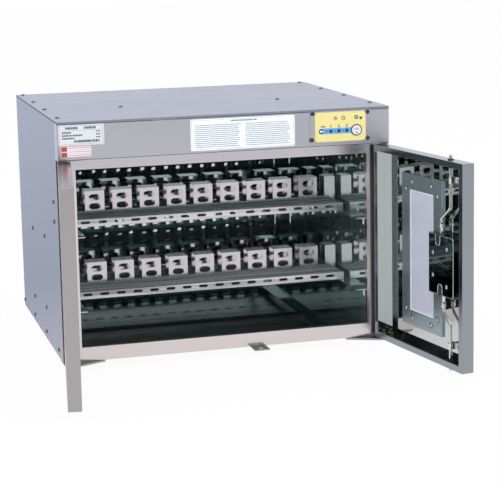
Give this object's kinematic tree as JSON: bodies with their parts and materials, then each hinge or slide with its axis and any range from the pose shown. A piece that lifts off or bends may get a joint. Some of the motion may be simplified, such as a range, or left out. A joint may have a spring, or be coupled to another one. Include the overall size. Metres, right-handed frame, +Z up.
{
  "type": "sterilizer cabinet",
  "caption": "Stainless steel ultraviolet sterilizer cabinet for kitchen utensils, with two swinging doors with windows, a rod latch and two slide-out racks of slotted clips.",
  "frame": {"origin": "Centre of the underside of the panel that is pressed down in the base plate; the feet reach 15 mm lower.", "axes": "+X to the right seen from the front, +Y from the front to the back, +Z up."},
  "size_m": [0.7025, 0.7999, 0.4433],
  "materials": {
    "outer_panels": "satin",
    "front_steel": "satin",
    "bracket_steel": "satin",
    "foot_rubber": "matte",
    "mirror_liner": "polished",
    "rack_steel": "polished",
    "door_steel": "satin",
    "frame_steel": "satin",
    "window_glass": "polished",
    "case_steel": "polished",
    "bright_steel": "polished",
    "bearing_brass": "satin",
    "panel_yellow": "satin",
    "white_plastic": "satin",
    "circuit_board": "satin",
    "dark_parts": "matte",
    "lamp_glass": "polished"
  },
  "bodies": {
    "cabinet": {"top_panel": "outer_panels", "left_side_panel": "outer_panels", "right_side_panel": "outer_panels", "back_panel": "outer_panels", "base_plate": "outer_panels", "header_panel": "front_steel", "front_frame": "front_steel", "lower_left_hinge": "bracket_steel", "lower_right_hinge": "bracket_steel", "upper_left_hinge": "bracket_steel", "upper_right_hinge": "bracket_steel", "rod_keeper": "bracket_steel", "foot_front_left": "foot_rubber", "foot_front_right": "foot_rubber", "foot_rear_left": "foot_rubber", "foot_rear_right": "foot_rubber", "liner_floor": "mirror_liner", "liner_left_wall": "mirror_liner", "liner_right_wall": "mirror_liner", "liner_back_wall": "mirror_liner", "liner_ceiling": "mirror_liner", "control_plate": "front_steel", "membrane_panel": "panel_yellow", "control_board": "circuit_board", "uv_lamp": "lamp_glass", "lamp_reflector": "mirror_liner", "ballast": "dark_parts", "starter": "white_plastic", "terminal_block": "white_plastic", "cable_gland": "dark_parts", "catch_magnet": "dark_parts", "reed_switch": "dark_parts"},
    "left_door": {"left_door_pan": "door_steel", "left_door_glass": "window_glass", "left_window_frame": "frame_steel", "left_door_magnet": "dark_parts", "left_lower_bush": "bearing_brass", "left_upper_bush": "bearing_brass"},
    "right_door": {"right_door_pan": "door_steel", "right_door_glass": "window_glass", "right_window_frame": "frame_steel", "right_door_magnet": "dark_parts", "right_lower_bush": "bearing_brass", "right_upper_bush": "bearing_brass", "latch_case": "case_steel", "handle_escutcheon": "case_steel", "upper_rod_guide": "bracket_steel", "lower_rod_guide": "bracket_steel"},
    "latch": {"latch_handle": "bright_steel", "latch_spindle": "bearing_brass"},
    "upper_latch_rod": {"upper_rod": "bright_steel"},
    "lower_latch_rod": {"lower_rod": "bright_steel"},
    "upper_rack": {"upper_rack_tray": "rack_steel", "upper_rack_front_clips": "rack_steel", "upper_rack_rear_clips": "rack_steel"},
    "lower_rack": {"lower_rack_tray": "rack_steel", "lower_rack_front_clips": "rack_steel", "lower_rack_rear_clips": "rack_steel"},
    "start_button": {"start_button": "white_plastic"}
  },
  "joints": [
    {"name": "left_door_hinge", "type": "hinge", "parent": "cabinet", "child": "left_door", "pos_m": [-0.2912, -0.2465, 0.18], "axis": [0, 0, -1], "range_deg": [-98.37, 21.63]},
    {"name": "right_door_hinge", "type": "hinge", "parent": "cabinet", "child": "right_door", "pos_m": [0.2912, -0.2465, 0.18], "axis": [0, 0, 1], "range_deg": [-99.21, 20.79]},
    {"name": "latch_handle_turn", "type": "hinge", "parent": "right_door", "child": "latch", "pos_m": [0.33301, -0.45124, 0.1745], "axis": [-0.9871, -0.1601, 0], "range_deg": [0, 90]},
    {"name": "upper_rod_slide", "type": "slide", "parent": "right_door", "child": "upper_latch_rod", "axis": [0, 0, -1], "range_m": [0, 0.0101]},
    {"name": "lower_rod_slide", "type": "slide", "parent": "right_door", "child": "lower_latch_rod", "axis": [0, 0, 1], "range_m": [0, 0.0101]},
    {"name": "upper_rack_slide", "type": "slide", "parent": "cabinet", "child": "upper_rack", "axis": [0, -1, 0], "range_m": [0, 0.25]},
    {"name": "lower_rack_slide", "type": "slide", "parent": "cabinet", "child": "lower_rack", "axis": [0, -1, 0], "range_m": [0, 0.25]},
    {"name": "start_button_press", "type": "slide", "parent": "cabinet", "child": "start_button", "axis": [0, 1, 0], "range_m": [0, 0.0012], "stiffness_N_per_m": 300}
  ],
  "couplings": [
    {"joint": "upper_rod_slide", "follows": "latch_handle_turn", "m_per_rad": 0.0064},
    {"joint": "lower_rod_slide", "follows": "latch_handle_turn", "m_per_rad": 0.0064}
  ]
}
